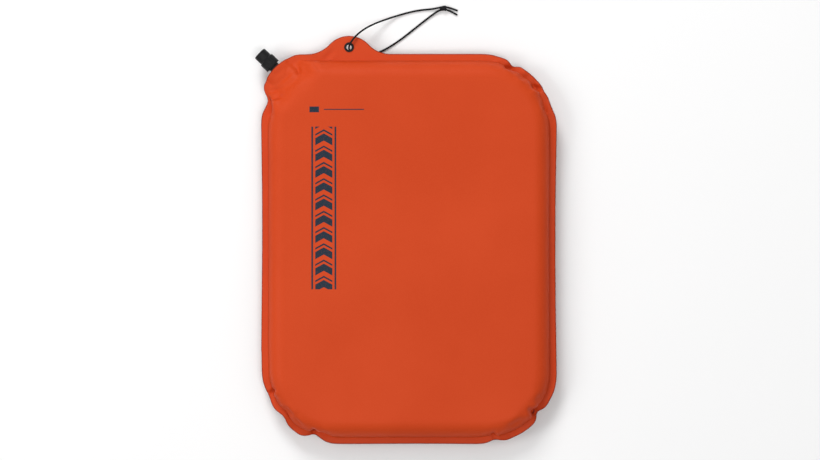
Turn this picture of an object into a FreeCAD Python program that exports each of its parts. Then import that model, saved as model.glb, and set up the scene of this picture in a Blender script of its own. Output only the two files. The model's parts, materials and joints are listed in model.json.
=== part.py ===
import FreeCAD
import Part
import Sketcher

import math
import os
import re

# A self-inflating foam seat pad: two fabric sheets welded round a foam core, with a twist valve let
# into one corner and an elastic lashing cord through a grommet in a tab. Millimetres, +Z up.
#
# The origin is the middle of the underside, on the surface that the pad lies on. X runs across the
# pad and Y along it, towards the tab. The weld between the two sheets is half way up.
# The valve's pieces are drawn about their own Z axis, which their Placement points out of the corner,
# and their heights are measured along it from the edge of the fabric. They are drawn with the cap
# screwed home. The grommet's heights are measured from the middle of the weld.

DIMENSIONS = {
    # the pad
    "pad_width": 311,
    "pad_length": 410,
    "pad_thickness": 38,
    "fabric": 0.4,
    "foam_gap": 0.1,
    "flange_width": 7.5,
    "corner_radius": 76,
    "valve_corner_radius": 50,
    "crown_radius": 18.4,
    # the lashing tab and its grommet
    "tab_across": -63,
    "tab_radius": 28,
    "tab_reach": 19,
    "tab_foot_radius": 30,
    "grommet_setback": 12,
    "grommet_hole": 2.75,
    "barrel_radius": 3.1,
    "barrel_gap": 0.1,
    "rim_radius": 5.1,
    "rim_seat": 0.42,
    "rim_top": 1.3,
    "rim_round": 0.4,
    "washer_face": -0.9,
    "curl_radius": 4.1,
    "curl_face": -1.45,
    # the valve's stem
    "valve_angle": 136.8,
    "airway_radius": 2.6,
    "tube_radius": 4,
    "tube_end": -24,
    "boat_half_width": 15,
    "boat_half_height": 4.8,
    "boat_back": -12.5,
    "boat_front": -2.6,
    "collar_radius": 5.8,
    "collar_top": 2.3,
    "core_radius": 5,
    "core_top": 8.2,
    "neck_radius": 4.4,
    "land_radius": 5,
    "land_bottom": 12.9,
    "groove_bottom": 13.6,
    "groove_top": 15.4,
    "groove_radius": 3.9,
    "stem_end": 16.2,
    # the thread, on the stem and in the cap
    "thread_start": 3,
    "thread_rise": 4.4,
    "thread_lead": 4,
    "ridge_height": 0.75,
    "ridge_half_root": 0.6,
    "ridge_half_crest": 0.25,
    "ridge_root_depth": 0.3,
    "thread_gap": 0.15,
    # the plug in the mouth of the stem
    "plug_bottom": 11,
    "spoke_top": 14,
    "spoke_width": 0.8,
    "spoke_count": 3,
    "plug_ring_radius": 2.05,
    "rod_radius": 1,
    "cone_bottom": 17.2,
    "plug_radius": 2.95,
    "plug_shoulder": 19,
    "plug_top": 21.9,
    "plug_bevel": 0.6,
    # the cap
    "cap_bottom": 2.6,
    "skirt_radius": 8.5,
    "skirt_top": 12,
    "nose_radius": 7.25,
    "nose_bottom": 13,
    "cap_top": 22.4,
    "nose_bevel": 0.9,
    "skirt_bore": 5.3,
    "lip_bottom": 8.6,
    "lip_top": 9.6,
    "lip_radius": 4.7,
    "bore_ceiling": 19.6,
    "port_radius": 3.25,
    "seal_groove_bottom": 20.2,
    "seal_groove_top": 21.6,
    "seal_groove_radius": 4.4,
    "flute_radius": 0.75,
    "flute_depth": 0.45,
    "flute_count": 18,
    # the rubber rings
    "stem_ring_radius": 4.6,
    "stem_ring_section": 0.62,
    "cap_ring_radius": 3.7,
    "cap_ring_section": 0.6,
    # the lashing cord
    "cord_radius": 1,
    "knot_half_length": 3.9,
    "knot_half_width": 3.2,
    "knot_half_height": 2.9,
}

# The lashing cord's routes. Both strands start half way through the grommet's hole. One goes up, over
# the end of the tab and down to the ground; the other goes down and along the ground under the tab.
CORD_ROUTES = {
    "cord_front_strand": [
        (-63.0, 212.0, 19.0),
        (-62.8, 213.4, 22.9),
        (-60.4, 218.0, 24.1),
        (-54.6, 225.2, 22.4),
        (-45.8, 232.2, 17.2),
        (-35.2, 237.9, 10.4),
        (-23.4, 242.6, 4.6),
        (-11.0, 246.8, 1.3),
        (1.8, 250.4, 1.05),
        (14.2, 252.6, 1.1),
        (24.6, 253.3, 1.5),
        (32.8, 255.0, 3.0),
    ],
    "cord_back_strand": [
        (-63.0, 212.0, 19.0),
        (-63.2, 210.6, 15.1),
        (-61.6, 207.6, 10.0),
        (-57.2, 205.2, 5.4),
        (-50.2, 204.0, 2.1),
        (-41.2, 204.8, 1.05),
        (-30.8, 207.9, 1.1),
        (-19.6, 213.8, 1.05),
        (-6.8, 222.5, 1.1),
        (6.6, 233.3, 1.05),
        (18.2, 242.4, 1.15),
        (26.2, 248.4, 1.6),
        (33.0, 252.7, 2.8),
    ],
    "cord_tail_left": [
        (39.3, 255.2, 2.9),
        (43.2, 254.6, 1.3),
        (47.4, 253.2, 1.05),
        (51.5, 251.5, 1.1),
    ],
    "cord_tail_right": [
        (39.1, 253.0, 2.7),
        (42.6, 251.5, 1.25),
        (46.8, 249.6, 1.05),
        (51.2, 247.0, 1.1),
    ],
}
KNOT_CENTRE = (36.2, 254.1, 2.95)
ARC_SHARE = 0.45

# How closely edges found by their place, and the volume of a cord, have to agree.
TOLERANCE = 0.01
LEVEL_TOLERANCE = 0.05
VOLUME_TOLERANCE = 0.01

TAB_TOP = "(pad_length / 2 + tab_reach)"
GROMMET_Y = f"({TAB_TOP} - grommet_setback)"
HALF_UP = "(pad_thickness / 2)"

document = FreeCAD.newDocument("seat_pad")
sheet = document.addObject("Spreadsheet::Sheet", "Dims")
for row, (word, number) in enumerate(DIMENSIONS.items(), start=1):
    sheet.set(f"A{row}", word)
    sheet.set(f"B{row}", str(number))
    sheet.setAlias(f"B{row}", word)
document.recompute()


# ---- reading the sheet, and sketches bound to it ----


def formula(text):
    """A sum of dimensions as an expression that other objects can hold."""
    return re.sub(r"\b([a-z]\w+)\b", r"Dims.\1", str(text))


def size(text):
    """The present value of such a sum, in millimetres."""
    return float(sheet.evalExpression(str(text)))


def role(body, name):
    return next(feature for feature in body.Origin.OriginFeatures if feature.Role == name)


def add_body(name):
    body = document.addObject("PartDesign::Body", name)
    body.Label = name
    return body


def add_sketch(body, name, plane="XY_Plane", height="0"):
    sketch = body.newObject("Sketcher::SketchObject", name)
    sketch.AttachmentSupport = [(role(body, plane), "")]
    sketch.MapMode = "FlatFace"
    sketch.setExpression("AttachmentOffset.Base.z", formula(height))
    return sketch


def bind(sketch, *constraint, to):
    """Adds a dimension to a sketch and ties it to the sheet."""
    index = sketch.addConstraint(Sketcher.Constraint(*constraint, size(to)))
    sketch.setExpression(f"Constraints[{index}]", formula(to))


def place_point(sketch, curve, end, across, up):
    """Ties a point to its place; "0" keeps it on the sketch's own axis."""
    for kind, text, axis in (("DistanceX", across, -2), ("DistanceY", up, -1)):
        if text == "0":
            sketch.addConstraint(Sketcher.Constraint("PointOnObject", curve, end, axis))
        else:
            bind(sketch, kind, curve, end, to=text)


def draw_polygon(sketch, corners):
    """A closed outline whose corners are (across, up) pairs of sums of dimensions."""
    points = [FreeCAD.Vector(size(across), size(up), 0) for across, up in corners]
    count = len(points)
    first = sketch.GeometryCount
    for i in range(count):
        sketch.addGeometry(Part.LineSegment(points[i], points[(i + 1) % count]))
    for i, (across, up) in enumerate(corners):
        following = first + (i + 1) % count
        sketch.addConstraint(Sketcher.Constraint("Coincident", first + i, 2, following, 1))
        place_point(sketch, first + i, 1, across, up)


def draw_circle(sketch, across, up, radius):
    centre = FreeCAD.Vector(size(across), size(up), 0)
    curve = sketch.addGeometry(Part.Circle(centre, FreeCAD.Vector(0, 0, 1), size(radius)))
    place_point(sketch, curve, 3, across, up)
    bind(sketch, "Radius", curve, to=radius)


def draw_pad_plan(sketch, inset):
    half_width = f"(pad_width / 2 - ({inset}))"
    half_length = f"(pad_length / 2 - ({inset}))"
    signs = [(-1, -1), (1, -1), (1, 1), (-1, 1)]
    draw_polygon(sketch, [(f"{x} * {half_width}", f"{y} * {half_length}") for x, y in signs])


# ---- features ----


def add_pad(body, sketch, length):
    pad = body.newObject("PartDesign::Pad", f"{sketch.Name}_pad")
    pad.Profile = sketch
    pad.setExpression("Length", formula(length))
    document.recompute()
    return pad


def add_pocket(body, sketch):
    """Cuts right through the body, both ways from the sketch."""
    before = body.Shape.Volume
    pocket = body.newObject("PartDesign::Pocket", f"{sketch.Name}_pocket")
    pocket.Profile = sketch
    pocket.Type = "ThroughAll"
    pocket.SideType = "Symmetric"
    document.recompute()
    if body.Shape.Volume >= before:
        raise RuntimeError(f"{sketch.Name} cut nothing")
    return pocket


def add_revolution(body, corners):
    """Turns an outline of (radius, height) corners about the body's Z axis."""
    sketch = add_sketch(body, f"{body.Name}_profile", "XZ_Plane")
    draw_polygon(sketch, corners)
    turned = body.newObject("PartDesign::Revolution", f"{body.Name}_turned")
    turned.Profile = sketch
    turned.ReferenceAxis = (sketch, ["V_Axis"])
    turned.Angle = 360
    document.recompute()
    return turned


def add_fillet(body, edges, radius):
    base = body.Tip
    fillet = body.newObject("PartDesign::Fillet", f"{body.Name}_fillet_{len(body.Group)}")
    fillet.Base = (base, edges)
    fillet.setExpression("Radius", formula(radius))
    document.recompute()
    return fillet


def add_polar_pattern(body, feature, count):
    pattern = body.newObject("PartDesign::PolarPattern", f"{feature.Name}_ring")
    pattern.Originals = [feature]
    pattern.Axis = (role(body, "Z_Axis"), [""])
    pattern.Angle = 360
    pattern.setExpression("Occurrences", formula(count))
    body.Tip = pattern
    document.recompute()
    return pattern


def thread_feature(body, kind, start, rise, corners):
    """A ridge or groove of the valve's right-hand thread, from an outline of (radius, height)."""
    sketch = add_sketch(body, f"{body.Name}_thread_form", "XZ_Plane")
    draw_polygon(sketch, [(radius, f"{start} + {up}") for radius, up in corners])
    thread = body.newObject(f"PartDesign::{kind}Helix", f"{body.Name}_thread")
    thread.Profile = sketch
    thread.ReferenceAxis = (sketch, ["V_Axis"])
    thread.Mode = "pitch-height-angle"
    thread.setExpression("Pitch", formula("thread_lead"))
    thread.setExpression("Height", formula(rise))
    thread.Angle = 0
    thread.LeftHanded = False
    document.recompute()
    return thread


def upright_edges(shape, keep):
    """The names of a shape's vertical straight edges whose (x, y) passes a test."""
    names = []
    for index, edge in enumerate(shape.Edges, start=1):
        start, end = (vertex.Point for vertex in (edge.Vertexes * 2)[:2])
        upright = math.hypot(end.x - start.x, end.y - start.y) < TOLERANCE < abs(end.z - start.z)
        if upright and keep(start.x, start.y):
            names.append(f"Edge{index}")
    return names


def level_edges(shape, heights):
    """The names of the edges that lie wholly at one of some heights."""
    names = []
    for index, edge in enumerate(shape.Edges, start=1):
        box = edge.BoundBox
        if any(max(abs(box.ZMin - height), abs(box.ZMax - height)) < LEVEL_TOLERANCE for height in heights):
            names.append(f"Edge{index}")
    return names


def circle_edges(shape, radius, height):
    """The names of the circles about the Z axis that have a radius, at a height."""
    names = []
    for index, edge in enumerate(shape.Edges, start=1):
        curve = edge.Curve
        if isinstance(curve, Part.Circle) and abs(curve.Radius - size(radius)) < TOLERANCE:
            if abs(curve.Center.z - size(height)) < TOLERANCE:
                names.append(f"Edge{index}")
    return names


def combine(kind, name, shapes):
    """A Part::Cut of two objects, or a Part::MultiFuse or Part::MultiCommon of several."""
    feature = document.addObject(f"Part::{kind}", name)
    feature.Label = name
    if kind == "Cut":
        feature.Base, feature.Tool = shapes
    else:
        feature.Shapes = shapes
    document.recompute()
    return feature


def valve_placement():
    """The middle of the weld on the valve corner's arc, with +Z pointing out of the corner."""
    angle = math.radians(size("valve_angle"))
    outwards = FreeCAD.Vector(math.cos(angle), math.sin(angle), 0)
    upwards = FreeCAD.Vector(0, 0, 1)
    radius = size("valve_corner_radius")
    reach = radius * math.sqrt(0.5)
    place = FreeCAD.Vector(
        radius - reach - size("pad_width / 2"),
        size("pad_length / 2") - radius + reach,
        size(HALF_UP),
    )
    return FreeCAD.Placement(place, FreeCAD.Rotation(upwards.cross(outwards), upwards, outwards, "ZYX"))


def grommet_placement():
    place = FreeCAD.Vector(size("tab_across"), size(GROMMET_Y), size(HALF_UP))
    return FreeCAD.Placement(place, FreeCAD.Rotation())


def add_valve_cylinder(name, radius, low, high, aside="0"):
    """A cylinder along the valve's axis, or with its own axis moved aside, up or down."""
    cylinder = document.addObject("Part::Cylinder", name)
    cylinder.Label = name
    cylinder.setExpression("Radius", formula(radius))
    cylinder.setExpression("Height", formula(f"{high} - ({low})"))
    offset = FreeCAD.Vector(0, size(aside), size(low))
    cylinder.Placement = valve_placement().multiply(FreeCAD.Placement(offset, FreeCAD.Rotation()))
    return cylinder


def add_ring(name, radius, section, height):
    """A rubber ring of round section about the valve's axis."""
    ring = document.addObject("Part::Torus", name)
    ring.Label = name
    ring.setExpression("Radius1", formula(radius))
    ring.setExpression("Radius2", formula(section))
    offset = FreeCAD.Vector(0, 0, size(height))
    ring.Placement = valve_placement().multiply(FreeCAD.Placement(offset, FreeCAD.Rotation()))
    return ring


# ---- the fabric sheets and the foam ----


def near_valve(x, y):
    return x < 0 < y


def round_corners(body, inset):
    """Rounds a pad-shaped slab's four corners in plan, the valve's corner more tightly."""
    others = upright_edges(body.Shape, lambda x, y: not near_valve(x, y))
    add_fillet(body, others, f"corner_radius - ({inset})")
    reach = size(f"pad_length / 2 - ({inset})") - TOLERANCE
    at_valve = upright_edges(body.Shape, lambda x, y: near_valve(x, y) and y > reach)
    add_fillet(body, at_valve, f"valve_corner_radius - ({inset})")


def pad_slab(name, inset):
    """The stuffed part of the pad, less an inset all round."""
    body = add_body(name)
    plan = add_sketch(body, f"{name}_plan", height=inset)
    draw_pad_plan(plan, f"flange_width + {inset}")
    add_pad(body, plan, f"pad_thickness - 2 * ({inset})")
    round_corners(body, f"flange_width + {inset}")
    rims = level_edges(body.Shape, [size(inset), size(f"pad_thickness - ({inset})")])
    add_fillet(body, rims, f"crown_radius - ({inset})")
    return body


def flange_plate():
    """Both layers of the weld round the pad, with the lashing tab and the grommet's hole."""
    body = add_body("flange_plate")
    bottom = f"{HALF_UP} - fabric"
    plan = add_sketch(body, "flange_plan", height=bottom)
    draw_pad_plan(plan, "0")
    add_pad(body, plan, "2 * fabric")
    round_corners(body, "0")
    disc = add_sketch(body, "tab_disc", height=bottom)
    draw_circle(disc, "tab_across", f"{TAB_TOP} - tab_radius", "tab_radius")
    add_pad(body, disc, "2 * fabric")
    edge_line = size("pad_length / 2")
    middle, reach = size("tab_across"), size("tab_radius")
    feet = upright_edges(
        body.Shape, lambda x, y: abs(y - edge_line) < TOLERANCE and abs(x - middle) < reach
    )
    add_fillet(body, feet, "tab_foot_radius")
    hole = add_sketch(body, "grommet_hole", height=HALF_UP)
    draw_circle(hole, "tab_across", GROMMET_Y, "barrel_radius + barrel_gap")
    add_pocket(body, hole)
    return body


def boat_space(name, skin, front="boat_front"):
    """The lens-shaped space round the stem's weld base, grown by a skin's thickness."""
    half_width = f"(boat_half_width + 2 * {skin})"
    half_height = f"(boat_half_height + {skin})"
    radius = f"({half_width}^2 + {half_height}^2) / (2 * {half_height})"
    low = f"boat_back - {skin}"
    sides = [
        add_valve_cylinder(f"{name}_{word}", radius, low, front, f"{sign} * ({radius} - {half_height})")
        for word, sign in (("upper", -1), ("lower", 1))
    ]
    return combine("MultiCommon", name, sides)


def half_space(name, start):
    """A box as high as the pad, over and beyond its whole plan."""
    box = document.addObject("Part::Box", name)
    box.Label = name
    for axis, length in (("x", "pad_width"), ("y", "pad_length")):
        box.setExpression({"x": "Length", "y": "Width"}[axis], formula(f"2 * {length}"))
        box.setExpression(f"Placement.Base.{axis}", formula(f"-{length}"))
    box.setExpression("Height", formula("pad_thickness"))
    box.setExpression("Placement.Base.z", formula(start))
    return box


def make_covers():
    """The two sheets: one shell round the foam and the valve's base, parted at the weld."""
    solid = [pad_slab("pad_outside", "0"), flange_plate(), boat_space("boat_cover", "fabric")]
    blank = combine("MultiFuse", "pad_blank", solid)
    mouth = boat_space("boat_mouth", "0", "collar_top")
    neck_hole = add_valve_cylinder("neck_hole", "collar_radius + foam_gap", "boat_back", "collar_top")
    hollow = combine("MultiFuse", "pad_hollow", [pad_slab("pad_inside", "fabric"), mouth, neck_hole])
    shell = combine("Cut", "pad_shell", [blank, hollow])
    return [
        combine("MultiCommon", "top_cover", [shell, half_space("upper_half", HALF_UP)]),
        combine("MultiCommon", "bottom_cover", [shell, half_space("lower_half", f"-{HALF_UP}")]),
    ]


def make_foam():
    """The foam slab, cut away round the stem's base and in a round channel behind it."""
    slab = pad_slab("foam_blank", "fabric + foam_gap")
    channel = add_valve_cylinder(
        "stem_channel", "tube_radius + foam_gap", "tube_end - tube_radius", "boat_front"
    )
    space = combine("MultiFuse", "stem_space", [channel, boat_space("boat_clearance", "foam_gap")])
    return combine("Cut", "foam_core", [slab, space])


# ---- the valve ----


def make_stem():
    """The weld base, the tube in the foam and the threaded neck with its two lands."""
    body = add_body("valve_stem")
    add_revolution(
        body,
        [
            ("airway_radius", "tube_end"),
            ("tube_radius", "tube_end"),
            ("tube_radius", "boat_front"),
            ("collar_radius", "boat_front"),
            ("collar_radius", "collar_top"),
            ("core_radius", "collar_top"),
            ("core_radius", "core_top"),
            ("neck_radius", "core_top"),
            ("neck_radius", "land_bottom"),
            ("land_radius", "land_bottom"),
            ("land_radius", "groove_bottom"),
            ("groove_radius", "groove_bottom"),
            ("groove_radius", "groove_top"),
            ("land_radius", "groove_top"),
            ("land_radius", "stem_end"),
            ("airway_radius", "stem_end"),
        ],
    )
    lens = add_sketch(body, "boat_plan", height="boat_back")
    rise = "(boat_half_width^2 + boat_half_height^2) / (2 * boat_half_height)"
    radius = size(rise)
    half_angle = math.asin(size("boat_half_width") / radius)
    for sign in (1, -1):
        centre = FreeCAD.Vector(0, sign * (size("boat_half_height") - radius), 0)
        middle = sign * math.pi / 2
        circle = Part.Circle(centre, FreeCAD.Vector(0, 0, 1), radius)
        lens.addGeometry(Part.ArcOfCircle(circle, middle - half_angle, middle + half_angle))
    lens.addConstraint(Sketcher.Constraint("Coincident", 0, 1, 1, 2))
    lens.addConstraint(Sketcher.Constraint("Coincident", 0, 2, 1, 1))
    place_point(lens, 0, 1, "boat_half_width", "0")
    place_point(lens, 0, 2, "-boat_half_width", "0")
    for curve in (0, 1):
        bind(lens, "Radius", curve, to=rise)
    draw_circle(lens, "0", "0", "airway_radius")
    add_pad(body, lens, "boat_front - boat_back")
    thread_feature(
        body,
        "Additive",
        "thread_start",
        "thread_rise",
        [
            ("core_radius - ridge_root_depth", "-ridge_half_root"),
            ("core_radius + ridge_height", "-ridge_half_crest"),
            ("core_radius + ridge_height", "ridge_half_crest"),
            ("core_radius - ridge_root_depth", "ridge_half_root"),
        ],
    )
    body.Placement = valve_placement()
    return body


def make_plug():
    """A plug on a rod, held in the mouth of the stem by a spoked ring that lets the air past."""
    body = add_body("valve_plug")
    add_revolution(
        body,
        [
            ("0", "plug_bottom"),
            ("rod_radius", "plug_bottom"),
            ("rod_radius", "cone_bottom"),
            ("plug_radius", "plug_shoulder"),
            ("plug_radius", "plug_top - plug_bevel"),
            ("plug_radius - plug_bevel", "plug_top"),
            ("0", "plug_top"),
        ],
    )
    spoke = add_sketch(body, "spoke_plan", height="plug_bottom")
    reach = "(plug_ring_radius + airway_radius) / 2"
    half = "spoke_width / 2"
    draw_polygon(spoke, [("0", f"-{half}"), (reach, f"-{half}"), (reach, half), ("0", half)])
    spokes = add_pad(body, spoke, "spoke_top - plug_bottom")
    add_polar_pattern(body, spokes, "spoke_count")
    ring = add_sketch(body, "ring_plan", height="plug_bottom")
    draw_circle(ring, "0", "0", "airway_radius")
    draw_circle(ring, "0", "0", "plug_ring_radius")
    add_pad(body, ring, "spoke_top - plug_bottom")
    body.Placement = valve_placement()
    return body


def make_cap():
    """The fluted cap: a threaded skirt, a lip that catches on the stem's land, and a port."""
    body = add_body("valve_cap")
    add_revolution(
        body,
        [
            ("skirt_bore", "cap_bottom"),
            ("skirt_radius", "cap_bottom"),
            ("skirt_radius", "skirt_top"),
            ("nose_radius", "nose_bottom"),
            ("nose_radius", "cap_top - nose_bevel"),
            ("nose_radius - nose_bevel", "cap_top"),
            ("port_radius", "cap_top"),
            ("port_radius", "seal_groove_top"),
            ("seal_groove_radius", "seal_groove_top"),
            ("seal_groove_radius", "seal_groove_bottom"),
            ("port_radius", "seal_groove_bottom"),
            ("port_radius", "bore_ceiling"),
            ("skirt_bore", "bore_ceiling"),
            ("skirt_bore", "lip_top"),
            ("lip_radius", "lip_top"),
            ("lip_radius", "lip_bottom"),
            ("skirt_bore", "lip_bottom"),
        ],
    )
    thread_feature(
        body,
        "Subtractive",
        "(thread_start - thread_lead)",
        "thread_lead + thread_rise + 2 * thread_gap",
        [
            ("core_radius", "-(ridge_half_root + thread_gap)"),
            ("core_radius + ridge_height + thread_gap", "-(ridge_half_crest + thread_gap)"),
            ("core_radius + ridge_height + thread_gap", "ridge_half_crest + thread_gap"),
            ("core_radius", "ridge_half_root + thread_gap"),
        ],
    )
    flute = add_sketch(body, "flute_plan")
    draw_circle(flute, "skirt_radius + flute_radius - flute_depth", "0", "flute_radius")
    add_polar_pattern(body, add_pocket(body, flute), "flute_count")
    body.Placement = valve_placement()
    return body


def make_rings():
    return [
        add_ring(
            "stem_seal_ring",
            "stem_ring_radius",
            "stem_ring_section",
            "(groove_bottom + groove_top) / 2",
        ),
        add_ring(
            "cap_seal_ring",
            "cap_ring_radius",
            "cap_ring_section",
            "(seal_groove_bottom + seal_groove_top) / 2",
        ),
    ]


# ---- the grommet ----


def make_grommet():
    """The eyelet, whose barrel is curled over the washer below the tab."""
    eyelet = add_body("grommet_eyelet")
    add_revolution(
        eyelet,
        [
            ("grommet_hole", "curl_face"),
            ("curl_radius", "curl_face"),
            ("curl_radius", "washer_face"),
            ("barrel_radius", "washer_face"),
            ("barrel_radius", "rim_seat"),
            ("rim_radius", "rim_seat"),
            ("rim_radius", "rim_top"),
            ("grommet_hole", "rim_top"),
        ],
    )
    rounded = [
        *circle_edges(eyelet.Shape, "rim_radius", "rim_top"),
        *circle_edges(eyelet.Shape, "grommet_hole", "rim_top"),
    ]
    add_fillet(eyelet, rounded, "rim_round")
    washer = add_body("grommet_washer")
    add_revolution(
        washer,
        [
            ("barrel_radius + barrel_gap", "washer_face"),
            ("rim_radius", "washer_face"),
            ("rim_radius", "-rim_seat"),
            ("barrel_radius + barrel_gap", "-rim_seat"),
        ],
    )
    for body in (eyelet, washer):
        body.Placement = grommet_placement()
    return [eyelet, washer]


# ---- the lashing cord ----


def cord_path(points):
    """Straight runs joined by tangent arcs, each as large as its two runs allow."""
    edges = []
    radii = []
    start = points[0]
    for before, corner, after in zip(points, points[1:], points[2:]):
        inwards = (before - corner).normalize()
        outwards = (after - corner).normalize()
        half_turn = (math.pi - inwards.getAngle(outwards)) / 2
        setback = ARC_SHARE * min((before - corner).Length, (after - corner).Length)
        radius = setback / math.tan(half_turn)
        bisector = (inwards + outwards).normalize()
        first = corner + inwards * setback
        last = corner + outwards * setback
        middle = corner + bisector * (radius / math.cos(half_turn) - radius)
        edges.append(Part.LineSegment(start, first).toShape())
        edges.append(Part.Arc(first, middle, last).toShape())
        radii.append(radius)
        start = last
    edges.append(Part.LineSegment(start, points[-1]).toShape())
    return Part.Wire(edges), radii


def make_cord(name, route):
    """One stretch of cord as a plain tube along its route."""
    path, radii = cord_path([FreeCAD.Vector(*point) for point in route])
    radius = size("cord_radius")
    start = path.Edges[0]
    heading = start.tangentAt(start.FirstParameter)
    section = Part.Wire(Part.makeCircle(radius, FreeCAD.Vector(*route[0]), heading))
    cord = document.addObject("Part::Feature", name)
    cord.Label = name
    cord.Shape = path.makePipeShell([section], True, False)
    cord.Placement = FreeCAD.Placement()
    expected = math.pi * radius**2 * path.Length
    share = cord.Shape.Volume / expected
    print(f"{name}: length {path.Length:.1f}, volume {share:.4f} of section x length")
    print(f"    radii {[round(r, 1) for r in radii]}")
    if abs(share - 1) > VOLUME_TOLERANCE:
        raise RuntimeError(f"{name} isn't a clean tube")
    return cord


def make_knot():
    """The outer shape of the overhand knot that joins the two ends."""
    knot = document.addObject("Part::Ellipsoid", "cord_knot")
    knot.Label = "cord_knot"
    knot.setExpression("Radius2", formula("knot_half_length"))
    knot.setExpression("Radius3", formula("knot_half_width"))
    knot.setExpression("Radius1", formula("knot_half_height"))
    knot.Placement = FreeCAD.Placement(FreeCAD.Vector(*KNOT_CENTRE), FreeCAD.Rotation())
    return knot


# ---- the whole pad ----

pieces = [
    *make_covers(),
    make_foam(),
    make_stem(),
    make_plug(),
    *make_rings(),
    make_cap(),
    *make_grommet(),
    *(make_cord(name, route) for name, route in CORD_ROUTES.items()),
    make_knot(),
]
document.recompute()

for item in document.Objects:
    if "Invalid" in item.State or "Error" in item.State:
        raise RuntimeError(f"{item.Label} failed: {item.State}")
for piece in pieces:
    shape = piece.Shape
    if shape.isNull() or not shape.isValid() or len(shape.Solids) != 1:
        raise RuntimeError(f"{piece.Label} isn't one valid solid")

os.makedirs("parts", exist_ok=True)
for piece in pieces:
    piece.Shape.exportStep(f"parts/{piece.Label}.step")
    print(f"{piece.Label}: {piece.Shape.Volume:.1f} mm3")
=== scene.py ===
"""Looks of a self-inflating foam seat pad: welded fabric covers over a foam core, a screw valve
in one corner and an elastic lashing cord through a grommet. Metres, in the CAD model's frame."""

import json
import math

import bpy
import numpy as np
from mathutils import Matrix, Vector
from mathutils.geometry import delaunay_2d_cdt


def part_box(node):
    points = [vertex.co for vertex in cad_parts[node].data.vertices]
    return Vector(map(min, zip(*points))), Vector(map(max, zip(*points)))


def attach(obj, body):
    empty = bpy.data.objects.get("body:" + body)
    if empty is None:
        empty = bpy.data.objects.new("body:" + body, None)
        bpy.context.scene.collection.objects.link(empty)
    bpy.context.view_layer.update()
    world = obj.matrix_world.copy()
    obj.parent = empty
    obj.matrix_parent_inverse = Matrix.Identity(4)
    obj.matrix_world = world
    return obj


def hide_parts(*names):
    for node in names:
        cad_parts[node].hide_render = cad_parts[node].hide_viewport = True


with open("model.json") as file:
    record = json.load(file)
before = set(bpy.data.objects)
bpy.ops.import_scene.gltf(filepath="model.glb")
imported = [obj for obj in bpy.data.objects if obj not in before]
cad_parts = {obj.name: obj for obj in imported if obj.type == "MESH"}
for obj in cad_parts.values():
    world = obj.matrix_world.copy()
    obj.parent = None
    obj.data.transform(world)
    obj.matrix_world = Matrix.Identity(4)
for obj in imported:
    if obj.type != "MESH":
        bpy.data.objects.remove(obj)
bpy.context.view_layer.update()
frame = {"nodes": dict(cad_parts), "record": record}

# ---------------------------------------------------------------- driving dimensions
MM = 0.001
SEED = 7                                # for the irregular spacing of the covers' vertices
cover_low, cover_high = (np.array(c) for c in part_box("bottom_cover"))
WIDTH = cover_high[0] - cover_low[0]
LENGTH = -2 * cover_low[1]              # the body is centred on the origin; the tab adds to it
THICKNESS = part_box("top_cover")[1][2]
WELD_Z = THICKNESS / 2                  # height of the plane where the two covers are welded
FABRIC = 0.4 * MM
SHEET = FABRIC * 0.9                    # thickness of each cover's mesh
FLANGE = 7.5 * MM                       # width of the welded border
CORNER = 76 * MM                        # radius of the three plain corners
VALVE_CORNER = 50 * MM
TAB_CENTRE_X = -63 * MM
TAB_RADIUS = 28 * MM
TAB_FOOT = 30 * MM
TAB_REACH = 19 * MM
GROMMET = np.array([-63.0, 212.0]) * MM
BARREL = 3.1 * MM                       # radius of the grommet's barrel, and so of the hole for it
CLAMP = 7 * MM                          # radius within which the grommet grips both covers
CORD_RADIUS = 1.0 * MM

joint = {j["name"]: j for j in frame["record"]["behaviour"]["joints"]}["cap_travel"]
VALVE_AXIS = np.array(joint["axis"][:2])
VALVE_SIDE = np.array([VALVE_AXIS[1], -VALVE_AXIS[0]])
BOAT_LENGTH = 12.5 * MM                 # the stem's flat fitting, welded between the covers
BOAT_HALF_WIDTH = 15.8 * MM
BOAT_HALF_HEIGHT = 5.2 * MM
BOAT_HUG = 9.5 * MM                     # how far in from the edge the covers lie on the fitting
BOAT_HUG_HALF_WIDTH = 15 * MM
COLLAR = 6.4 * MM                       # radius of the cover where it goes over the stem's collar
FOAM_BORE = 4.1 * MM                    # radius of the channel in the foam for the valve's tube
FOAM_BORE_ENDS = (-5 * MM, -33 * MM)    # along the valve's axis, from the edge of the fabric

CROWN = WELD_Z - FABRIC                 # radius of the rounding round the crown
CROWN_ARC = CROWN * math.pi / 2
SLACK = CROWN_ARC - CROWN               # how much further out the flat pattern's edge is
FLAT_GROMMET = GROMMET + [0, SLACK]     # the grommet's place on the flat pattern
FINE = 2.8 * MM                         # vertex spacing in the outer band
COARSE = 7.0 * MM                       # vertex spacing inside it
FINE_BAND = 42 * MM                     # width of the outer band
JITTER = 0.12                           # how uneven the spacing is


# ---------------------------------------------------------------- the covers' flat pattern
def arc(centre_x, centre_y, radius, start, end, step=FINE):
    count = max(2, int(abs(end - start) * radius / step))
    angles = start + (end - start) * np.arange(count) / count
    return np.c_[centre_x + radius * np.cos(angles), centre_y + radius * np.sin(angles)]


def line(x0, y0, x1, y1):
    count = max(1, int(math.hypot(x1 - x0, y1 - y0) / FINE))
    part = (np.arange(count) / count)[:, None]
    return np.array([x0, y0]) * (1 - part) + np.array([x1, y1]) * part


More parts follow.
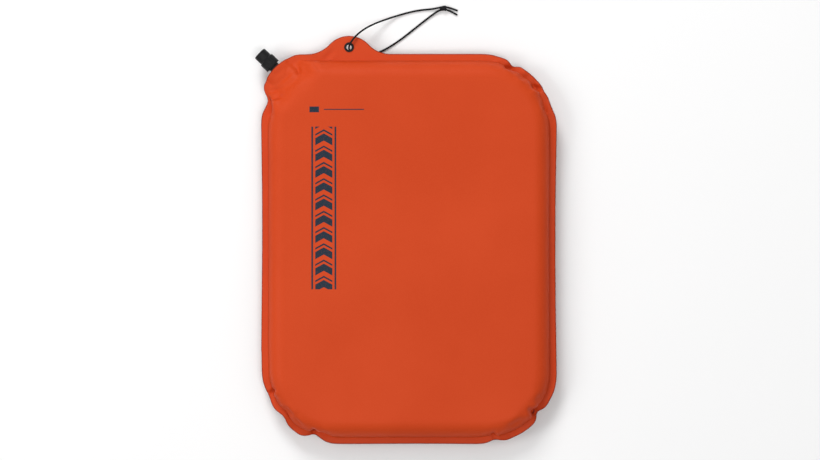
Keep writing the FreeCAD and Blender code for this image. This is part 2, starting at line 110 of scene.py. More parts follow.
def rounded_outline(inset, with_tab):
    """The pattern's cut edge, or a line inset from it, as points in counter-clockwise order."""
    half_w = WIDTH / 2 + SLACK - inset
    half_l = LENGTH / 2 + SLACK - inset
    plain = CORNER + SLACK - inset
    valve = VALVE_CORNER + SLACK - inset
    quarter = math.pi / 2
    parts = [arc(half_w - plain, half_l - plain, plain, 0, quarter)]
    if with_tab:
        tab_y = half_l + TAB_REACH - TAB_RADIUS
        foot_y = half_l + TAB_FOOT
        foot_x = math.sqrt((TAB_RADIUS + TAB_FOOT) ** 2 - (foot_y - tab_y) ** 2)
        lean = math.atan2(foot_y - tab_y, foot_x)
        right, left = TAB_CENTRE_X + foot_x, TAB_CENTRE_X - foot_x
        parts += [
            line(half_w - plain, half_l, right, half_l),
            arc(right, foot_y, TAB_FOOT, -quarter, lean - math.pi),
            arc(TAB_CENTRE_X, tab_y, TAB_RADIUS, lean, math.pi - lean),
            arc(left, foot_y, TAB_FOOT, -lean, -quarter),
            line(left, half_l, valve - half_w, half_l),
        ]
    else:
        parts.append(line(half_w - plain, half_l, valve - half_w, half_l))
    parts += [
        arc(valve - half_w, half_l - valve, valve, quarter, 2 * quarter),
        line(-half_w, half_l - valve, -half_w, plain - half_l),
        arc(plain - half_w, plain - half_l, plain, 2 * quarter, 3 * quarter),
        line(plain - half_w, -half_l, half_w - plain, -half_l),
        arc(half_w - plain, plain - half_l, plain, 3 * quarter, 4 * quarter),
        line(half_w, plain - half_l, half_w, half_l - plain),
    ]
    points = np.vstack(parts)
    gaps = np.hypot(*(points - np.roll(points, 1, 0)).T)
    return points[gaps > 0.3 * FINE]


def edge_frame(points):
    """Distance in from the pattern's body outline, and the unit direction out of it."""
    x, y = points.T
    radius = np.where((x < 0) & (y > 0), VALVE_CORNER, CORNER) + SLACK
    over_x = np.abs(x) - (WIDTH / 2 + SLACK - radius)
    over_y = np.abs(y) - (LENGTH / 2 + SLACK - radius)
    corner = (over_x > 0) & (over_y > 0)
    reach = np.where(corner, np.hypot(over_x, over_y), np.maximum(over_x, over_y))
    out_x = np.where(corner, over_x / np.maximum(reach, 1e-9), over_x > over_y)
    out_y = np.where(corner, over_y / np.maximum(reach, 1e-9), over_x <= over_y)
    return radius - reach, np.c_[out_x * np.sign(x), out_y * np.sign(y)]


def distance_to(points, loop):
    best = np.full(len(points), 1e9)
    for start, end in zip(loop, np.roll(loop, -1, 0)):
        run = end - start
        part = np.clip((points - start) @ run / (run @ run), 0, 1)
        best = np.minimum(best, np.hypot(*(points - start - part[:, None] * run).T))
    return best


def inside(points, loop):
    x, y = points.T
    odd = np.zeros(len(points), bool)
    for start, end in zip(loop, np.roll(loop, -1, 0)):
        spans = (start[1] > y) != (end[1] > y)
        if spans.any():
            cut = start[0] + (end[0] - start[0]) * (y - start[1]) / (end[1] - start[1] + 1e-15)
            odd ^= spans & (x < cut)
    return odd


def valve_corner_middle():
    """The middle of the valve corner's edge."""
    reach = VALVE_CORNER * math.sqrt(0.5)
    return np.array([VALVE_CORNER - reach - WIDTH / 2, LENGTH / 2 - VALVE_CORNER + reach])


def along_valve(points):
    """Distance out past the valve corner's edge and to the side of the valve's axis, on the pattern."""
    away = points - valve_corner_middle() - VALVE_AXIS * SLACK
    return away @ VALVE_AXIS, away @ VALVE_SIDE


def hexagonal_grid(step, rng):
    xs = np.arange(-WIDTH / 2 - SLACK, WIDTH / 2 + SLACK + step, step)
    ys = np.arange(-LENGTH / 2 - SLACK, LENGTH / 2 + SLACK + TAB_REACH, step * math.sqrt(0.75))
    grid = np.array([(x + step / 2 * (row % 2), y) for row, y in enumerate(ys) for x in xs])
    return grid + rng.uniform(-JITTER, JITTER, grid.shape) * step


def from_grommet(points):
    """Distance from the grommet's middle, on the pattern."""
    return np.hypot(*(points - FLAT_GROMMET).T)


def pattern_mesh():
    """Vertices and triangles of the flat pattern, with an edge ring along the weld."""
    rng = np.random.default_rng(SEED)
    rim = rounded_outline(0, True)
    weld = rounded_outline(FLANGE, False)
    hole = arc(*FLAT_GROMMET, BARREL, 0, 2 * math.pi, step=0.8 * MM)
    ring = arc(*FLAT_GROMMET, 2 * BARREL, 0, 2 * math.pi, step=1.6 * MM)
    fine = hexagonal_grid(FINE, rng)
    depth, _ = edge_frame(fine)
    fine = fine[inside(fine, rim) & (depth < FINE_BAND)]
    for loop in (rim, weld):
        fine = fine[distance_to(fine, loop) > 0.6 * FINE]
    fine = fine[from_grommet(fine) > 2.7 * BARREL]
    weld = weld[from_grommet(weld) > 2.7 * BARREL]
    coarse = hexagonal_grid(COARSE, rng)
    coarse = coarse[edge_frame(coarse)[0] > FINE_BAND + 0.3 * COARSE]
    points = np.vstack([rim, hole, weld, ring, fine, coarse])
    edges = []
    first = 0
    for loop in (rim, hole, weld):
        count = len(loop)
        edges += [(first + i, first + (i + 1) % count) for i in range(count)]
        first += count
    made = delaunay_2d_cdt([Vector(p) for p in points], edges, [list(range(len(rim)))], 1, 1e-9)
    flat = np.array([tuple(p) for p in made[0]])
    faces = np.array([tuple(f) for f in made[2]])
    faces = faces[from_grommet(flat[faces].mean(1)) > BARREL * 0.98]
    return flat, faces


# ---------------------------------------------------------------- the covers' first shape
# Where the border is drawn in: x and y in the settled outline, depth, spread along the edge and lift,
# in millimetres.
PUCKERS = [
    (109, 193, 4.6, 6, -3.0), (97, 201, 1.2, 11, 0.0), (143, 165, 2.2, 7, 3.0),
    (127, 184, 3.0, 26, 0.0), (149, 150, 2.8, 10, 1.5), (121, 187, 0.6, 4, 2.0),
    (134, 176, 0.4, 4, -1.6),
    (136, -170, 5.5, 7, -4.0), (89, -201, 3.8, 8, 2.5), (122, -190, 0.8, 22, 1.5),
    (146, -160, 1.4, 9, 1.0), (110, -197, 0.3, 5, -1.8),
    (-132, -174, 4.0, 9, 3.0), (-99, -196, 5.6, 8, -3.5), (-92, -200, 2.6, 10, 0.0),
    (-147, -152, 1.8, 10, -2.0), (-141, -167, 2.2, 34, 0.0), (-119, -187, 0.3, 5, -1.6),
    (-149, 150, 7.0, 8, -3.5), (-149, 180, 1.0, 8, 0.0), (-135, 195, 0.9, 12, 0.0),
    (-108, 205, 0.5, 8, 2.0),
]
PUCKER_DEPTH = 30 * MM                  # how far in from the edge a pucker dies out
PUCKER_REACH = 60 * MM                  # how far along the edge a wide one may go
VALVE_SLOPE = 46 * MM                   # length of the slope from the valve up to the crown
SLOPE_START = 0.7 * BOAT_LENGTH
SLOPE_HALF_WIDTH = 17 * MM
SLOPE_BLEND = 24 * MM                   # over which it goes into the crown at its sides
SLOPE_END = 90 * MM                     # how far in from the corner the slope counts
SLOPE_FADE = 20 * MM
WRINKLE = 1.1 * MM                      # height of the low wrinkles across the slope
WRINKLE_STEP = 3.4 * MM                 # their pitch over 2 pi
UNGLUED = 50 * MM                       # how far in from the valve's edge the slope isn't glued
UNGLUED_HALF_WIDTH = 22 * MM
UNGLUED_FADE = 30 * MM                  # at its sides


def smooth(t):
    t = np.clip(t, 0, 1)
    return t * t * (3 - 2 * t)


def over_crown(flat):
    """Places and heights of the pattern's points, folded up round the crown."""
    depth, out = edge_frame(flat)
    turn = np.clip(depth - FLANGE, 0, CROWN_ARC) / CROWN
    inward = np.minimum(depth, FLANGE) + CROWN * (1 - np.cos(turn)) \
        + np.maximum(depth - FLANGE - CROWN_ARC, 0)
    return flat - out * (SLACK - depth + inward)[:, None], CROWN * np.sin(turn)


def over_fitting(past, aside):
    """Height of the cover over the valve's flat fitting and its collar."""
    radius = (BOAT_HALF_WIDTH ** 2 + BOAT_HALF_HEIGHT ** 2) / (2 * BOAT_HALF_HEIGHT)
    reach = np.minimum(np.abs(aside), BOAT_HALF_WIDTH)
    boat = np.sqrt(radius ** 2 - reach ** 2) - radius + BOAT_HALF_HEIGHT
    collar = np.sqrt(np.maximum(COLLAR ** 2 - aside ** 2, 0)) * smooth((past + 9 * MM) / (5 * MM))
    return np.maximum(boat, collar)


def add_puckers(place, depth, out):
    """Draws the border in at each pucker. Returns the places and the lift of each point."""
    fade = 1 - smooth(depth / PUCKER_DEPTH)
    border = 1 - smooth((depth - FLANGE) / (1.6 * FLANGE))
    lift = 0
    for x, y, deep, spread, up in PUCKERS:
        apart = place - np.array([x, y]) * MM
        across = np.abs(apart @ np.array([-y, x])) / math.hypot(x, y)
        near = np.hypot(*apart.T) < min(PUCKER_DEPTH + 2 * spread * MM, PUCKER_REACH)
        bump = np.exp(-(across / (spread * MM)) ** 2) * near
        place = place - out * (deep * MM * bump * fade)[:, None]
        lift = lift + up * MM * bump * border
    return place, lift


def first_shape(flat, side):
    """Each pattern point folded up round the crown and over the valve, with the puckers begun."""
    depth, out = edge_frame(flat)
    past, aside = along_valve(flat)
    place, height = over_crown(flat)

    climb = smooth((-past - SLOPE_START) / VALVE_SLOPE)
    boat = over_fitting(past, aside)
    slope_place = flat - VALVE_AXIS * (SLACK * (1 - climb))[:, None]
    slope_height = boat * (1 - climb) + CROWN * climb
    near_valve = 1 - smooth((np.abs(aside) - SLOPE_HALF_WIDTH) / SLOPE_BLEND)
    near_valve *= smooth((past + SLOPE_END) / SLOPE_FADE)
    place = place * (1 - near_valve)[:, None] + slope_place * near_valve[:, None]
    height = height * (1 - near_valve) + slope_height * near_valve
    wave = np.sin(past / WRINKLE_STEP + 1.3 * np.sin(aside / (11 * MM)))
    bare = near_valve * smooth((-past - 14 * MM) / (8 * MM)) * (1 - climb)
    height = height + WRINKLE * wave * bare

    place, lift = add_puckers(place, depth, out)
    on_boat = (past > -BOAT_HUG) & (np.abs(aside) < BOAT_HUG_HALF_WIDTH) & (side != 0)
    place[on_boat] = flat[on_boat] - VALVE_AXIS * SLACK
    height[on_boat] = boat[on_boat]
    z = side * height + lift * (~on_boat)
    still = smooth((np.hypot(*(place - GROMMET).T) - CLAMP) / (8 * MM))
    return np.c_[place, z * still], on_boat


def bond(sheet, start, side, on_boat):
    """How firmly each point is held, from 0 to 1: glued to the foam or the valve's fitting, or
    clamped by the grommet."""
    depth, _ = edge_frame(sheet)
    past, aside = along_valve(sheet)
    bonded = smooth((depth - FLANGE - CROWN_ARC + 2 * MM) / (7 * MM)) * (side != 0)
    corner = 1 - smooth((np.abs(aside) - UNGLUED_HALF_WIDTH) / UNGLUED_FADE)
    bonded *= 1 - corner * (1 - smooth((-past - UNGLUED) / (14 * MM)))
    bonded[on_boat] = 1
    beside_boat = (side == 0) & (past > -BOAT_HUG) & (np.abs(aside) < 18 * MM)
    bonded[beside_boat] = 0.6
    away = np.hypot(*(start[:, :2] - GROMMET).T)
    return np.maximum(bonded, 1 - smooth((away - CLAMP) / CLAMP))


def covers_shape():
    """Both covers as one sheet, joined along the border. Returns its parts as a dictionary: side is
    1 for a point of the top cover alone, -1 for the bottom's and 0 for the border they share."""
    flat, faces = pattern_mesh()
    middle = flat[faces].mean(1)
    depth, _ = edge_frame(middle)
    past, aside = along_valve(middle)
    over_boat = (past > -BOAT_LENGTH) & (np.abs(aside) < BOAT_HALF_WIDTH)
    is_border = (depth < FLANGE) & ~over_boat
    body, border = faces[~is_border], faces[is_border]
    count = len(flat)
    in_border = np.zeros(count, bool)
    in_border[border.ravel()] = True
    in_body = np.zeros(count, bool)
    in_body[body.ravel()] = True
    doubled = np.where(in_body & ~in_border)[0]
    below = np.arange(count)
    below[doubled] = count + np.arange(len(doubled))
    sheet = np.vstack([flat, flat[doubled]])
    side = np.zeros(len(sheet))
    side[doubled] = 1
    side[count:] = -1
    start, on_boat = first_shape(sheet, side)
    return {
        "flat": sheet, "start": start, "side": side, "below": below, "body": body, "border": border,
        "bonded": bond(sheet, start, side, on_boat), "depth": edge_frame(sheet)[0],
        "from_cut": distance_to(sheet, rounded_outline(0, True)),
    }


# ---------------------------------------------------------------- cloth simulation
FRAMES = 30
PRESSURE = 5.0
LEAST_HOLD = 0.001                      # a point held less than this is free


def settle(parts):
    """Lets both covers settle over the foam under a little air pressure, from their cut sizes."""
    start, flat, side = parts["start"], parts["flat"], parts["side"]
    faces = np.vstack([parts["body"], parts["border"], parts["below"][parts["body"]][:, ::-1]])
    mesh = bpy.data.meshes.new("settling")
    mesh.from_pydata(start.tolist(), [], faces.tolist())
    cloth = bpy.data.objects.new("settling", mesh)
    bpy.context.scene.collection.objects.link(cloth)
    held = cloth.vertex_groups.new(name="held")
    for index in np.where(parts["bonded"] > LEAST_HOLD)[0]:
        held.add([int(index)], float(parts["bonded"][index]), "REPLACE")
    airy = cloth.vertex_groups.new(name="airy")
    airy.add(np.where(side != 0)[0].tolist(), 1.0, "REPLACE")
    cloth.shape_key_add(name="Basis")
    cut = cloth.shape_key_add(name="cut")
    cut.data.foreach_set("co", np.c_[flat, np.zeros(len(flat))].ravel())
    modifier = cloth.modifiers.new("Cloth", "CLOTH")
    settings = modifier.settings
    settings.rest_shape_key = cut
    settings.quality = 7
    settings.mass = 0.02
    settings.air_damping = 2.0
    settings.tension_stiffness = settings.compression_stiffness = 60
    settings.shear_stiffness = 30
    settings.tension_damping = settings.compression_damping = settings.shear_damping = 15
    settings.bending_model = "ANGULAR"
    settings.bending_stiffness = 0.3
    settings.bending_damping = 1.0
    settings.vertex_group_mass = "held"
    settings.pin_stiffness = 8.0
    settings.use_pressure = True
    settings.uniform_pressure_force = PRESSURE
    settings.vertex_group_pressure = "airy"
    settings.effector_weights.gravity = 0
    modifier.point_cache.frame_start = 1
    modifier.point_cache.frame_end = FRAMES
    for number in range(1, FRAMES + 1):
        bpy.context.scene.frame_set(number)
    seen = cloth.evaluated_get(bpy.context.evaluated_depsgraph_get())
    places = np.empty(len(start) * 3)
    seen.data.vertices.foreach_get("co", places)
    bpy.data.objects.remove(cloth)
    bpy.data.meshes.remove(mesh)
    bpy.context.scene.frame_set(1)
    return places.reshape(-1, 3)


# ---------------------------------------------------------------- making pieces
def add_piece(name, vertices, faces, material, smooth_shading=True):
    mesh = bpy.data.meshes.new(name)
    mesh.from_pydata(np.asarray(vertices).tolist(), [], [list(map(int, f)) for f in faces])
    mesh.materials.append(material)
    mesh.polygons.foreach_set("use_smooth", [smooth_shading] * len(mesh.polygons))
    mesh.update()
    piece = bpy.data.objects.new(name, mesh)
    bpy.context.scene.collection.objects.link(piece)
    return piece


def apply_modifiers(piece):
    """Replaces a piece's mesh by what its modifiers make of it."""
    depsgraph = bpy.context.evaluated_depsgraph_get()
    made = bpy.data.meshes.new_from_object(piece.evaluated_get(depsgraph), depsgraph=depsgraph)
    piece.modifiers.clear()
    old = piece.data
    piece.data = made
    bpy.data.meshes.remove(old)


def used_only(vertices, faces, *values):
    """Drops the vertices that no face uses."""
    used, index = np.unique(faces.ravel(), return_inverse=True)
    return vertices[used], index.reshape(faces.shape), [v[used] for v in values]


# Sharp folds in the top cover: both ends' x and y, then depth and half width, in millimetres. One
# with a depth below 0 is a ridge.
CREASES = [
    (98, 192, 112, 188, 1.9, 2.2), (126, 172, 143, 166.5, 2.4, 2.6),
    (113, 184, 124, 176, 1.0, 2.6), (87, 197, 97, 195, -0.8, 2.4),
    (131, 175, 139, 170, -0.9, 2.0), (143, 156, 149, 138, -0.7, 2.0),
    (138, 158, 145, 140, 0.8, 2.6),
    (-132, -163, -120, -177, 1.9, 2.4), (-122, -175, -109, -188, 1.2, 2.0),
    (-101, -197, -99, -186, 1.8, 2.4), (-146, -154, -140, -145, 1.8, 2.2),
    (-94, -192, -80, -195, 0.8, 2.6),
    (136, -175, 123, -165, 2.6, 3.2), (91, -201, 87, -190, 1.6, 2.4),
    (123, -176, 100, -189, 1.3, 3.2), (140, -150, 132, -163, 1.0, 3.2),
    (98, -194, 84, -196, -0.7, 2.2),
    (-117, 192, -115, 181, 1.9, 2.2), (-122, 192, -126, 181, -1.0, 2.2),
    (-92, 196, -76, 211, 0.7, 2.6), (-147, 156, -132, 162, 1.8, 2.3),
    (-146, 163, -137, 168, 1.1, 2.2), (-140, 170, -118, 190, 0.8, 2.4),
    (-133, 163, -112, 181, 0.8, 2.8), (-103, 193, -92, 190, 1.1, 2.4),
    (-138, 150, -131, 163, 0.8, 2.6),
]
CREASE_REACH = 6                        # half widths beyond which a fold does nothing
PUFF = 0.45                             # height of the cloth beside a fold, as a share of its depth


def press_creases(piece, above):
    """Presses the sharp folds into the top cover, and puffs the cloth a little beside each.
    The bottom cover follows it along the welded border."""
    mesh = piece.data
    depth = np.empty(len(mesh.vertices))
    mesh.attributes["depth"].data.foreach_get("value", depth)
    follows = 1 if above else smooth((depth - 2 * FLANGE) / -FLANGE)
    sign = 1 if above else -1
    places = np.empty(len(mesh.vertices) * 3)
    mesh.vertices.foreach_get("co", places)
    places = places.reshape(-1, 3)
    normals = np.empty(len(mesh.vertices) * 3)
    mesh.vertices.foreach_get("normal", normals)
    normals = normals.reshape(-1, 3)
    for x0, y0, x1, y1, deep, half in CREASES:
        start = np.array([x0, y0]) * MM
        run = np.array([x1 - x0, y1 - y0]) * MM
        reach = np.hypot(*run)
        part = (places[:, :2] - start) @ run / reach ** 2
        near = start + np.clip(part, 0, 1)[:, None] * run
        apart = np.hypot(*(places[:, :2] - near).T) / (half * MM)
        taper = smooth(1.25 - 1.25 * np.abs(2 * part - 1)) * (apart < CREASE_REACH)
        fold = np.exp(-apart ** 2) - PUFF * np.exp(-((apart - 2.1) / 1.1) ** 2)
        places -= normals * (sign * follows * fold * taper * deep * MM)[:, None]
    mesh.vertices.foreach_set("co", places.ravel())
    mesh.update()


def make_cover(name, places, parts, faces, material, above):
    """One cover: its sheet, given the fabric's thickness on its outer side."""
    vertices, faces, values = used_only(places, faces, parts["from_cut"], parts["depth"])
    piece = add_piece(name, vertices, faces, material)
    for label, value in zip(("from_cut", "depth"), values):
        layer = piece.data.attributes.new(label, "FLOAT", "POINT")
        layer.data.foreach_set("value", value)
    finer = piece.modifiers.new("finer", "SUBSURF")
    finer.levels = finer.render_levels = 1
    apply_modifiers(piece)
    press_creases(piece, above)
    thick = piece.modifiers.new("thick", "SOLIDIFY")
    thick.thickness = SHEET
    thick.offset = 1
    apply_modifiers(piece)
    piece.data.polygons.foreach_set("use_smooth", [True] * len(piece.data.polygons))
    return piece


FOAM_RIM = 5 * MM                       # how far inside the weld the foam's edge is
FOAM_INSET = 0.35 * MM                  # under the fabric where it is glued to it
FOAM_GAP = 2.0 * MM                     # how much more where it isn't


def make_foam(places, parts, material):
    """The foam block that fills the covers, with the channel for the valve's tube cut in it."""
    body, below = parts["body"], parts["below"]
    past, _ = along_valve(parts["flat"])
    within = parts["depth"][body].min(1) > FLANGE + FOAM_RIM
    within &= past[body].max(1) < -BOAT_LENGTH - FOAM_RIM
    top = body[within]
    under = below[top][:, ::-1]
    edges = {edge for a, b, c in top for edge in ((a, b), (b, c), (c, a))}
    rim = sorted((a, b) for a, b in edges if (b, a) not in edges)
    walls = [f for a, b in rim for f in ((b, a, below[a]), (b, below[a], below[b]))]
    inset = FOAM_INSET + FOAM_GAP * (1 - parts["bonded"])
    vertices, faces, (inset,) = used_only(places, np.vstack([top, under, walls]), inset)
    piece = add_piece("foam_block", vertices, faces, material)
    normals = np.array([v.normal[:] for v in piece.data.vertices])
    piece.data.vertices.foreach_set("co", (vertices - normals * inset[:, None]).ravel())
    bore = add_bore(material)
    cut = piece.modifiers.new("cut", "BOOLEAN")
    cut.object = bore
    cut.operation = "DIFFERENCE"
    cut.solver = "EXACT"
    apply_modifiers(piece)
    bpy.data.objects.remove(bore)
    return piece


def add_bore(material, sides=32):
    """A cylinder along the valve's axis, as wide as the channel in the foam."""
    vertices = []
    for distance in sorted(FOAM_BORE_ENDS):
        for i in range(sides):
            turn = 2 * math.pi * i / sides
            place = valve_corner_middle() + VALVE_AXIS * distance + VALVE_SIDE * FOAM_BORE * math.cos(turn)
            vertices.append((*place, WELD_Z + FOAM_BORE * math.sin(turn)))
    faces = [(i, (i + 1) % sides, sides + (i + 1) % sides, sides + i) for i in range(sides)]
    faces += [tuple(range(sides))[::-1], tuple(range(sides, 2 * sides))]
    return add_piece("bore", vertices, faces, material)


# ---------------------------------------------------------------- materials
class Nodes:
    """A short way to write a material's node tree."""

    def __init__(self, name):
        self.material = bpy.data.materials.new(name)
        self.material.use_nodes = True
        self.tree = self.material.node_tree
        self.shader = self.tree.nodes["Principled BSDF"]
        self.place = self.add("ShaderNodeTexCoord").outputs["Object"]

    def add(self, kind, **settings):
        node = self.tree.nodes.new(kind)
        for key, value in settings.items():
            setattr(node, key, value)
        return node

    def put(self, socket, value):
        if isinstance(value, bpy.types.NodeSocket):
            self.tree.links.new(value, socket)
        else:
            socket.default_value = value

    def math(self, operation, *values):
        node = self.add("ShaderNodeMath", operation=operation)
        for socket, value in zip(node.inputs, values):
            self.put(socket, value)
        return node.outputs[0]

    def noise(self, scale, detail=3.0, roughness=0.5):
        node = self.add("ShaderNodeTexNoise")
        self.put(node.inputs["Vector"], self.place)
        node.inputs["Scale"].default_value = scale
        node.inputs["Detail"].default_value = detail
        node.inputs["Roughness"].default_value = roughness
        return node.outputs["Fac"]

    def ramp(self, value, low, high, to_low=0.0, to_high=1.0):
        node = self.add("ShaderNodeMapRange", clamp=True)
        for name, setting in (("Value", value), ("From Min", low), ("From Max", high),
                              ("To Min", to_low), ("To Max", to_high)):
            self.put(node.inputs[name], setting)
        return node.outputs["Result"]

    def mix(self, factor, first, second):
        node = self.add("ShaderNodeMix", data_type="RGBA")
        self.put(node.inputs[0], factor)
        self.put(node.inputs[6], first)
        self.put(node.inputs[7], second)
        return node.outputs[2]

    def bump(self, height, strength, distance, normal=None):
        node = self.add("ShaderNodeBump")
        self.put(node.inputs["Height"], height)
        node.inputs["Strength"].default_value = strength
        node.inputs["Distance"].default_value = distance
        if normal is not None:
            self.put(node.inputs["Normal"], normal)
        return node.outputs["Normal"]

    def split(self, vector=None):
        node = self.add("ShaderNodeSeparateXYZ")
        self.put(node.inputs[0], vector or self.place)
        return node.outputs

    def attribute(self, name):
        return self.add("ShaderNodeAttribute", attribute_name=name).outputs["Fac"]

    def finish(self, colour, roughness, normal=None, **uniform):
        self.put(self.shader.inputs["Base Color"], colour)
        self.put(self.shader.inputs["Roughness"], roughness)
        if normal is not None:
            self.put(self.shader.inputs["Normal"], normal)
        for name, value in uniform.items():
            self.shader.inputs[name.replace("_", " ")].default_value = value
        return self.material


def rgb(red, green, blue):
    """A colour given in the 0 to 255 steps of a screen, as linear values."""
    steps = [c / 255 for c in (red, green, blue)]
    return (*[c / 12.92 if c <= 0.04045 else ((c + 0.055) / 1.055) ** 2.4 for c in steps], 1.0)


def weave(nodes, pitch):
    """Height of a plain weave of the given thread pitch, from 0 to 1."""
    x, y, _ = nodes.split()
    turns = math.pi / pitch
    warp = nodes.math("SINE", nodes.math("MULTIPLY", x, turns))
    weft = nodes.math("SINE", nodes.math("MULTIPLY", y, turns))
    product = nodes.math("MULTIPLY", warp, weft)
    return nodes.math("MULTIPLY_ADD", product, 0.5, 0.5)


def band(nodes, value, middle, half, soft=0.25 * MM):
    """1 where value is within half of middle, with a soft edge."""
    apart = nodes.math("ABSOLUTE", nodes.math("SUBTRACT", value, middle))
    return nodes.ramp(apart, half - soft, half + soft, 1.0, 0.0)


MARK_MIDDLE = -89 * MM                  # of the printed column, along x
MARK_HALF_WIDTH = 13 * MM
MARK_LOW, MARK_HIGH = -42 * MM, 128 * MM
MARK_RULE = 0.9 * MM                    # half the width of the rules at its sides
CHEVRON_STEP = 17 * MM
CHEVRON_SLANT = 0.55
HEADING_Y = 146 * MM                    # of the bar and the thin rule above the column
PRINTED_ABOVE = 30 * MM                 # the print is on the top of the pad only


def printed_mark(nodes):
    """A plain geometric column of chevrons between two rules, with a short bar above it."""
    x, y, z = nodes.split()
    aside = nodes.math("ABSOLUTE", nodes.math("SUBTRACT", x, MARK_MIDDLE))
    slanted = nodes.math("MULTIPLY_ADD", aside, CHEVRON_SLANT, y)
    climbed = nodes.math("SUBTRACT", slanted, MARK_LOW)
    part = nodes.math("FRACT", nodes.math("DIVIDE", climbed, CHEVRON_STEP))
    wide = nodes.ramp(nodes.math("ABSOLUTE", nodes.math("SUBTRACT", part, 0.36)), 0.21, 0.235, 1, 0)
    thin = nodes.ramp(nodes.math("ABSOLUTE", nodes.math("SUBTRACT", part, 0.78)), 0.045, 0.07, 1, 0)
    chevrons = nodes.math("MAXIMUM", wide, thin)
    inner = nodes.ramp(aside, MARK_HALF_WIDTH - 4.2 * MM, MARK_HALF_WIDTH - 3.9 * MM, 1, 0)
    rules = band(nodes, aside, MARK_HALF_WIDTH - MARK_RULE, MARK_RULE)
    column = nodes.math("MAXIMUM", nodes.math("MULTIPLY", chevrons, inner), rules)
    length = band(nodes, y, (MARK_LOW + MARK_HIGH) / 2, (MARK_HIGH - MARK_LOW) / 2)
    column = nodes.math("MULTIPLY", column, length)
    bar = nodes.math("MULTIPLY", band(nodes, x, -99 * MM, 5 * MM), band(nodes, y, HEADING_Y, 3 * MM))
    rule = nodes.math("MULTIPLY", band(nodes, x, -68 * MM, 21 * MM), band(nodes, y, HEADING_Y, 0.5 * MM))
    mark = nodes.math("MAXIMUM", column, nodes.math("MAXIMUM", bar, rule))
    worn = nodes.ramp(nodes.noise(2600, 2), 0.30, 0.36, 0.55, 1)
    on_top = nodes.ramp(z, PRINTED_ABOVE, PRINTED_ABOVE + 4 * MM)
    return nodes.math("MULTIPLY", nodes.math("MULTIPLY", mark, worn), on_top)


def cover_fabric(name, main, shade, with_mark):
    """Fine woven fabric, satin and a little uneven, with a pressed weld along its cut edge."""
    nodes = Nodes(name)
    edge = nodes.attribute("from_cut")
    cloud = nodes.noise(9, 4)
    colour = nodes.mix(nodes.ramp(cloud, 0.35, 0.65), main, shade)
    threads = nodes.noise(900, 2)
    colour = nodes.mix(nodes.ramp(threads, 0.3, 0.7, 0, 0.06), colour, rgb(228, 110, 70))
    weld = nodes.ramp(nodes.attribute("depth"), FLANGE - 0.9 * MM, FLANGE, 1, 0)
    colour = nodes.mix(nodes.math("MULTIPLY", weld, 0.2), colour, rgb(188, 58, 28))
    cut = nodes.ramp(edge, 0.2 * MM, 1.1 * MM, 1, 0)
    colour = nodes.mix(nodes.math("MULTIPLY", cut, 0.75), colour, rgb(96, 22, 14))
    roughness = nodes.ramp(cloud, 0.3, 0.7, 0.5, 0.6)
    if with_mark:
        mark = printed_mark(nodes)
        colour = nodes.mix(mark, colour, rgb(22, 42, 56))
        roughness = nodes.math("SUBTRACT", roughness, nodes.math("MULTIPLY", mark, 0.12))
    fine = nodes.bump(weave(nodes, 0.32 * MM), 0.25, 0.05 * MM)
    soft = nodes.bump(nodes.noise(140, 4), 0.2, 0.5 * MM, fine)
    return nodes.finish(colour, roughness, soft, Specular_IOR_Level=0.14)


def foam_material():
    nodes = Nodes("open_cell_foam")
    cells = nodes.add("ShaderNodeTexVoronoi", feature="SMOOTH_F1")
    nodes.put(cells.inputs["Vector"], nodes.place)
    cells.inputs["Scale"].default_value = 1100
    colour = nodes.mix(cells.outputs["Distance"], rgb(232, 218, 178), rgb(196, 176, 128))
    normal = nodes.bump(cells.outputs["Distance"], 0.8, 0.6 * MM)
    return nodes.finish(colour, nodes.ramp(nodes.noise(60), 0, 1, 0.85, 0.97), normal)


def moulded(name, colour, worn, rough, grain, scratches=0.3):
    """Moulded plastic, rubber or enamel: a fine grain, and rubbed paler in places."""
    nodes = Nodes(name)
    patches = nodes.noise(420, 5, roughness=0.6)
    tone = nodes.mix(nodes.ramp(patches, 0.45, 0.75, 0, scratches), colour, worn)
    roughness = nodes.ramp(patches, 0.3, 0.7, rough - 0.06, rough + 0.08)
    normal = nodes.bump(nodes.noise(grain, 3), 0.35, 0.06 * MM)
    return nodes.finish(tone, roughness, normal, Specular_IOR_Level=0.22)


def braid_material():
    """Braided cord: dark threads crossing on the slant, by the tube's own coordinates."""
    nodes = Nodes("cord_braid")
    uv = nodes.add("ShaderNodeUVMap", uv_map="UVMap").outputs[0]
    around, length, _ = nodes.split(uv)
    one = nodes.math("SINE", nodes.math("ADD", around, length))
    other = nodes.math("SINE", nodes.math("SUBTRACT", around, length))
    cross = nodes.math("MULTIPLY_ADD", nodes.math("MULTIPLY", one, other), 0.5, 0.5)
    tone = nodes.mix(cross, rgb(9, 9, 10), rgb(28, 28, 31))
    fleck = nodes.ramp(nodes.noise(3000, 2), 0.55, 0.7, 0, 0.25)
    tone = nodes.mix(fleck, tone, rgb(52, 52, 56))
    normal = nodes.bump(cross, 0.6, 0.15 * MM)
    return nodes.finish(tone, nodes.ramp(cross, 0, 1, 0.85, 0.68), normal, Specular_IOR_Level=0.2)


def floor_material():
    nodes = Nodes("paper_floor")
    tone = nodes.mix(nodes.noise(3), (0.85, 0.85, 0.85, 1), (0.87, 0.87, 0.87, 1))
    return nodes.finish(tone, 0.9)


